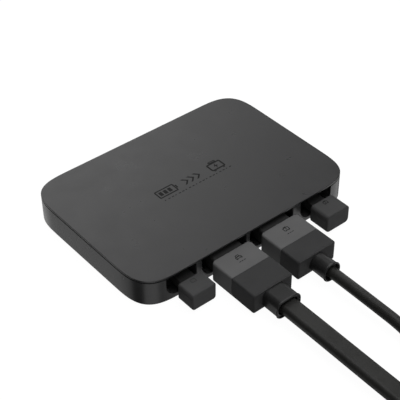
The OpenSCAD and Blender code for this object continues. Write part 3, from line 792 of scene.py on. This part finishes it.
# A strap's section: across it in half widths, and out from it in half thicknesses
TIE_SECTION = (
    (-1, 0.7), (-0.94, 1), (0.94, 1), (1, 0.7), (1, -0.7), (0.94, -1), (-0.94, -1), (-1, -0.7),
)
# A strap's laid-over end: its start from the middle of the top, and its steps
FLAP_START, FLAP_STEP = -9, 3.2


def tie_loop(centre, angle, r_in, r_out, h, w):
    """Strap round a coil's turns: a closed loop with soft corners, and its end laid over the top."""
    x0, x1 = r_in - TIE_ROOM, r_out + TIE_ROOM
    z0, z1 = TIE_T / 2, h + TIE_T / 2 + 0.05
    middle = (x0 + x1) / 2
    path = round_rect(x1 - x0, z1 - z0, TIE_CORNER, 6, middle, (z0 + z1) / 2)
    a = math.radians(angle)
    radial, tangent = Vector((math.cos(a), math.sin(a), 0)), Vector((-math.sin(a), math.cos(a), 0))

    def rings(line, closed):
        made = []
        count = len(line)
        for i, (x, z) in enumerate(line):
            before, after = line[(i - 1) % count], line[(i + 1) % count]
            if not closed:
                before, after = line[max(i - 1, 0)], line[min(i + 1, count - 1)]
            d = Vector((after[0] - before[0], after[1] - before[1])).normalized()
            normal = Vector((d.y, -d.x))
            ring = []
            for side, out in TIE_SECTION:
                at = Vector((x, z)) + normal * out * TIE_T / 2
                p = Vector((centre[0], centre[1], 0)) + radial * at.x + tangent * side * w / 2
                ring.append(tuple(p + Vector((0, 0, at.y))))
            made.append(ring)
        return made

    loop = loft(rings(path, True), wrap=True)
    flap = [(middle + FLAP_START + i * FLAP_STEP, z1 + TIE_T) for i in range(7)]
    return joined(loop, loft(rings(flap, False)))


def make_ties():
    for name, node, body, route, end, turn_t, width, angles in (
        ("input_coil_straps", "input_coil_ties", "input_lead", INPUT_ROUTE, FLAT_END, FLAT_T, 18, (208, 275)),
        ("output_coil_strap", "output_coil_tie", "output_lead", OUTPUT_ROUTE, ROUND_END, ROUND_D, 12, (45,)),
    ):
        centre, r_out = coil_place(route, end)
        r_in, r_out = end["r_in"] - turn_t / 2, r_out + turn_t / 2
        height = COIL_Z + 2 * end["w"] + LAYER_GAP
        loops = [tie_loop(centre, angle, r_in, r_out, height, width) for angle in angles]
        add_piece(name, joined(*loops), body, "strap", (node,), smooth_angle=50)


def facing_x(x, y, z):
    """Matrix for a piece made along -Y from 0, to start at a point and run along -X."""
    return Matrix.Translation(Vector((x, y, z)) * MM) @ Matrix.Rotation(math.radians(-90), 4, "Z")


def lug_boot_skin(w, h, length):
    """Moulding where the twin lead splits: a round-edged block with three grip grooves."""
    rings = [(0, w - 4, h - 4, 2.8), (0, w - 1.4, h - 1.4, 4.4), (-0.4, w - 0.4, h - 0.4, 4.8)]
    rings += [(y, w, h, 5.0) for y in (-1.2, -6)]
    for i in range(3):
        y = -8.5 - 3.4 * i
        groove = [(y - d, w - 1.3, h - 1.3, 4.4) for d in (0.4, 1.4)]
        rings += [(y, w, h, 5.0), *groove, (y - 1.8, w, h, 5.0)]
    rings += [
        (-length + 3, w, h, 5.0), (-length + 1.0, w - 0.5, h - 0.5, 4.8),
        (-length + 0.3, w - 1.6, h - 1.6, 4.3), (-length, w - 3, h - 3, 3.6), (-length, w - 6, h - 6, 2.5),
    ]
    return loft(along_y(rings))


def lug_sleeve():
    """Sleeve over a lug's barrel, narrower towards the ring."""
    sections = [
        (0, 6, 6, 2.9), (0, 7.4, 7.4, 3.6), (-0.3, 7.8, 7.8, 3.85), (-9, 7.8, 7.8, 3.85),
        (-11.6, 7.2, 7.4, 3.5), (-12.6, 6.9, 7.3, 3.4), (-12.9, 6.4, 6.8, 3.1), (-12.9, 4, 4, 1.9),
    ]
    return loft(along_y(sections, 8))


def make_lugs():
    low, high = (Vector(c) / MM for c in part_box("lug_boot"))
    middle, size = (low + high) / 2, high - low
    skin = lug_boot_skin(size.y, size.z, size.x)
    place = facing_x(high.x, middle.y, middle.z)
    add_piece("lug_boot_moulding", skin, "input_lead", "boot", ("lug_boot",), place=place)
    for node, sleeve_slot in (("positive_lug", "lug_red"), ("negative_lug", "boot")):
        low, high = (Vector(c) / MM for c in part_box(node))
        place = facing_x(high.x, (low.y + high.y) / 2, (low.z + high.z) / 2)
        add_piece(f"{node}_sleeve", lug_sleeve(), "input_lead", sleeve_slot, place=place, smooth_angle=60)
        add_piece(f"{node}_ring", lug_ring(), "input_lead", "lug", (node,), place=place, smooth_angle=45)


def lug_ring():
    """Barrel, flattened neck and ring of a crimp lug, along -Y from the sleeve's start."""
    neck = [
        (-12.0, 6.4, 6.4, 3.0), (-14.0, 6.6, 5.6, 2.6), (-15.6, 8.6, 3.4, 1.4),
        (-16.8, 10.4, 2.05, 0.9), (-17.4, 10.8, 2.0, 0.9), (-17.4, 8, 1.2, 0.5),
    ]
    outer, inner, half, middle_y = 8.0, 4.2, 1.0, -23
    profile = [
        (inner, -half + 0.25), (inner, half - 0.25), (inner + 0.25, half), (outer - 0.3, half),
        (outer, half - 0.3), (outer, -half + 0.3), (outer - 0.3, -half), (inner + 0.25, -half),
    ]
    rings = []
    steps = 48
    for i in range(steps):
        a = math.tau * i / steps
        rings.append([(r * math.cos(a), middle_y + r * math.sin(a), z) for r, z in profile])
    return joined(loft(along_y(neck, 8)), loft(rings, wrap=True))


# ---------------------------------------------------------------- cords

FLAT_W, FLAT_T, FLAT_R = 18.0, 10.0, 4.2
ROUND_D = 10.4
# The lower turns' height over the surface, and the gap between the two layers
COIL_Z = 0.7
LAYER_GAP = 0.2
# Each lead's coil and free end, as coil_and_end() takes them
FLAT_END = dict(
    r_in=77, turns=3.52, pitch=FLAT_T + 0.4, w=FLAT_W, end_z=47.6, out=180, bend_r=80, rise=60, tail=25,
)
ROUND_END = dict(
    r_in=42, turns=1.76, pitch=ROUND_D + 0.2, w=ROUND_D, end_z=32.1, out=360, bend_r=42, rise=70, tail=10,
)

# The leads' routes: x, y, z and the turn of the section about the route, in degrees
INPUT_ROUTE = [
    (-32, -163.5, 13.5, 0),
    (-32, -180, 13.4, 0),
    (-32, -200, 13.2, 0),
    (-32, -220, 12.9, 0),
    (-32, -240, 12.6, 0),
    (-32, -260, 12.3, 0),
    (-32, -280, 12, 0),
    (-33.1, -296, 11.8, 6),
    (-36.3, -312, 11.6, 16),
    (-41.2, -328, 11.4, 28),
    (-47.6, -344, 11.2, 41),
    (-55, -360, 11, 54),
    (-63, -376, 10.8, 66),
    (-71.5, -393, 10.6, 76),
    (-80, -410, 10.4, 84),
    (-88, -427, 10.2, 89),
    (-95.5, -445, 10.2, 90),
    (-101.5, -463, 10.2, 90),
    (-106, -481, 10.2, 90),
    (-108.5, -496, 10.2, 90),
    (-109, -508, 10.2, 90),
]
OUTPUT_ROUTE = [
    (23.2, -157.6, 13.5, 0),
    (23.2, -170, 13.4, 0),
    (23.2, -185, 13.2, 0),
    (23.2, -200, 12.9, 0),
    (23.2, -215, 12.5, 0),
    (23.2, -228, 12, 0),
    (22.6, -240, 11.2, 0),
    (20.5, -252, 10, 0),
    (17.2, -264, 8.6, 0),
    (13.5, -276, 7.2, 0),
    (10.7, -288, 6.2, 0),
    (9.4, -300, 5.9, 0),
]


def catmull_rom(t, p, q, r, s):
    """A value between q and r, at t from 0 to 1, with p before them and s after them."""
    return 0.5 * (2 * q + (r - p) * t + (2 * p - 5 * q + 4 * r - s) * t**2 + (3 * q - p - 3 * r + s) * t**3)


def smooth_route(points, per_span=4):
    """Points on a Catmull-Rom curve through the route."""
    fine = []
    for i in range(len(points) - 1):
        before = points[max(i - 1, 0)]
        a, b = points[i], points[i + 1]
        after = points[min(i + 2, len(points) - 1)]
        for k in range(per_span):
            t = k / per_span
            fine.append(tuple(catmull_rom(t, *values) for values in zip(before, a, b, after)))
    return fine + [points[-1]]


def ease(f):
    return f * f * (3 - 2 * f)


def arc(centre, r, start, end, z0, z1, step):
    """Points on an arc from angle start to end, in degrees, with the section on its edge."""
    count = max(2, round(abs(end - start) / step))
    points = []
    for i in range(count + 1):
        f = i / count
        a = math.radians(start + (end - start) * f)
        z = z0 + (z1 - z0) * ease(f)
        points.append((centre[0] + r * math.cos(a), centre[1] + r * math.sin(a), z, 90))
    return points


def coil_place(route, end):
    """(centre, outer radius) of a coil, on the +X side of its route's last point."""
    r_out = end["r_in"] + end["turns"] * end["pitch"]
    return (route[-1][0] + r_out, route[-1][1]), r_out


def coil_and_end(start, r_in, turns, pitch, w, end_z, out, bend_r, rise, tail):
    """A two-layer coil beyond the route's last point, in on the lower layer and out on the upper
    one, then the free end: over the coil's edge, in across its turns and straight on, towards out.
    """
    turn_steps, dip = 40, 1.2
    r_out = r_in + turns * pitch
    centre = (start[0] + r_out, start[1])
    z_low, z_high = COIL_Z + w / 2, COIL_Z + LAYER_GAP + 1.5 * w
    end_angle = out - 180 - rise
    climb = ((end_angle - 180) / 360 - 2 * turns) % 1
    total = 2 * turns + climb
    steps = math.ceil(total * turn_steps)
    points = []
    for i in range(1, steps + 1):
        t = total * i / steps
        if t < turns:
            r, z = r_out - pitch * t, z_low
        elif t < turns + climb:
            f = (t - turns) / climb
            r, z = r_in - dip * math.sin(math.pi * f), z_low + (z_high - z_low) * ease(f)
        else:
            r, z = r_in + pitch * (t - turns - climb), z_high
        a = math.pi + math.tau * t
        points.append((centre[0] + r * math.cos(a), centre[1] + r * math.sin(a), z, 90))
    toward = out - 180
    inner = (
        centre[0] + (r_out - bend_r) * math.cos(math.radians(toward)),
        centre[1] + (r_out - bend_r) * math.sin(math.radians(toward)),
    )
    points += arc(centre, r_out, toward - rise, toward, z_high, end_z, 6)[1:]
    points += arc(inner, bend_r, toward, toward + 90, end_z, end_z, 7)[1:]
    x, y = points[-1][:2]
    for f in (0.34, 0.67, 1.0):
        ahead = (tail * f * math.cos(math.radians(out)), tail * f * math.sin(math.radians(out)))
        points.append((x + ahead[0], y + ahead[1], end_z, 90))
    return points


def sweep(path, section):
    """Rings of the section (across, up) along a path of x, y, z, turn."""
    rings = []
    for i, (x, y, z, turn) in enumerate(path):
        here = Vector((x, y, z))
        before, after = Vector(path[max(i - 1, 0)][:3]), Vector(path[min(i + 1, len(path) - 1)][:3])
        ahead = (after - before).normalized()
        side = Vector((ahead.y, -ahead.x, 0)).normalized()
        up = side.cross(ahead)
        c, s = math.cos(math.radians(turn)), math.sin(math.radians(turn))
        rings.append([tuple(here + (u * c - v * s) * side + (u * s + v * c) * up) for u, v in section])
    return rings


def add_cord(name, body, route, end, section, nodes):
    path = smooth_route(route)
    path += coil_and_end(route[-1], **end)
    cord = add_piece(name, loft(sweep(path, section)), body, "cord", replaces=nodes, smooth_angle=60)


def make_cords():
    add_cord(
        "input_lead", "input_lead", INPUT_ROUTE, FLAT_END, round_rect(FLAT_W, FLAT_T, FLAT_R, 5),
        ("input_cable", "input_coil", "input_lead_end"),
    )
    add_cord(
        "output_lead", "output_lead", OUTPUT_ROUTE, ROUND_END,
        round_rect(ROUND_D, ROUND_D, ROUND_D / 2 - 0.001, 5),
        ("output_cable", "output_coil", "output_lead_end"),
    )


# ---------------------------------------------------------------- stage


def add_floor():
    """Pale floor, lit evenly."""
    m = Nodes("pale_floor", (0.1, 0.1, 0.1), 0.9, specular=0.0)
    m.vary_colour(m.noise(3, 2), 0.01)
    m.shader.inputs["Emission Color"].default_value = (1, 1, 1, 1)
    m.shader.inputs["Emission Strength"].default_value = 0.97
    mesh = bpy.data.meshes.new("floor")
    half, drop = 6.0, -0.0002
    corners = [(x * half, y * half, drop) for x, y in ((-1, -1), (1, -1), (1, 1), (-1, 1))]
    mesh.from_pydata(corners, [], [(0, 1, 2, 3)])
    mesh.materials.append(m.material)
    floor = bpy.data.objects.new("floor", mesh)
    floor.visible_glossy = False
    floor.visible_diffuse = False
    floor.visible_shadow = False
    bpy.context.scene.collection.objects.link(floor)


class Studio:
    """World light made of soft patches: each has an azimuth from +X, an elevation, and how far it
    reaches to its full strength and to nothing, in degrees."""

    def __init__(self, base):
        world = bpy.data.worlds.new("studio")
        world.use_nodes = True
        bpy.context.scene.world = world
        self.tree = world.node_tree
        self.where = self.tree.nodes.new("ShaderNodeTexCoord").outputs["Generated"]
        self.total = None
        self.base = base

    def math(self, operation, a, b):
        node = self.tree.nodes.new("ShaderNodeMath")
        node.operation = operation
        for value, socket in zip((a, b), node.inputs):
            if isinstance(value, (int, float)):
                socket.default_value = value
            else:
                self.tree.links.new(value, socket)
        return node.outputs[0]

    def patch(self, azimuth, elevation, full, none):
        az, el = math.radians(azimuth), math.radians(elevation)
        dot = self.tree.nodes.new("ShaderNodeVectorMath")
        dot.operation = "DOT_PRODUCT"
        dot.inputs[1].default_value = (math.cos(az) * math.cos(el), math.sin(az) * math.cos(el), math.sin(el))
        self.tree.links.new(self.where, dot.inputs[0])
        fade = self.tree.nodes.new("ShaderNodeMapRange")
        fade.interpolation_type = "SMOOTHSTEP"
        fade.inputs["From Min"].default_value = math.cos(math.radians(none))
        fade.inputs["From Max"].default_value = math.cos(math.radians(full))
        self.tree.links.new(dot.outputs["Value"], fade.inputs["Value"])
        return fade.outputs["Result"]

    def add_light(self, strength, *where):
        more = self.math("MULTIPLY", self.patch(*where), strength)
        self.total = self.math("ADD", self.total if self.total is not None else self.base, more)

    def add_shade(self, amount, *where):
        keep = self.math("SUBTRACT", 1.0, self.math("MULTIPLY", self.patch(*where), amount))
        self.total = self.math("MULTIPLY", self.total, keep)

    def finish(self):
        background = self.tree.nodes["Background"]
        background.inputs["Color"].default_value = (1, 1, 1, 1)
        self.tree.links.new(self.total, background.inputs["Strength"])


BASE_LIGHT = 0.048
# Strength, azimuth, elevation, reach of the full strength, reach to nothing
LIGHTS = (
    (2.5, -40, 82, 10, 30),
    (1.8, 77, 30, 8, 33),
    (1.0, 34, 10, 7, 18),
    (2.2, -53, 38, 6, 18),
    (0.4, -134, 8, 10, 28),
    (0.07, 0, -90, 50, 72),
    (0.3, 125, -40, 12, 30),
    (0.45, 84, -38, 8, 30),
    (0.7, -18, -40, 12, 28),
    (0.6, 238, -40, 14, 30),
    (0.22, -58, -40, 8, 20),
)
# The share that each takes away, and the same four angles
SHADES = (
    (1.0, 177, -40, 8, 21),
    (0.9, 99, 56, 10, 27),
)


def add_stage():
    add_floor()
    studio = Studio(BASE_LIGHT)
    for light in LIGHTS:
        studio.add_light(*light)
    for shade in SHADES:
        studio.add_shade(*shade)
    studio.finish()
    bpy.context.scene.view_settings.view_transform = "Standard"


def finish_kept_nodes():
    """Every CAD node in its slot's material."""
    for record in frame["record"]["subparts"]:
        node = frame["nodes"][record["node"]]
        node.data.materials.clear()
        node.data.materials.append(materials[record["material_slot"]])


# ---------------------------------------------------------------- build

add_camera()
materials = make_materials()
make_housing()
make_cover()
make_cover_mark()
make_plugs_and_caps()
make_ties()
make_lugs()
make_cords()
finish_kept_nodes()
add_stage()
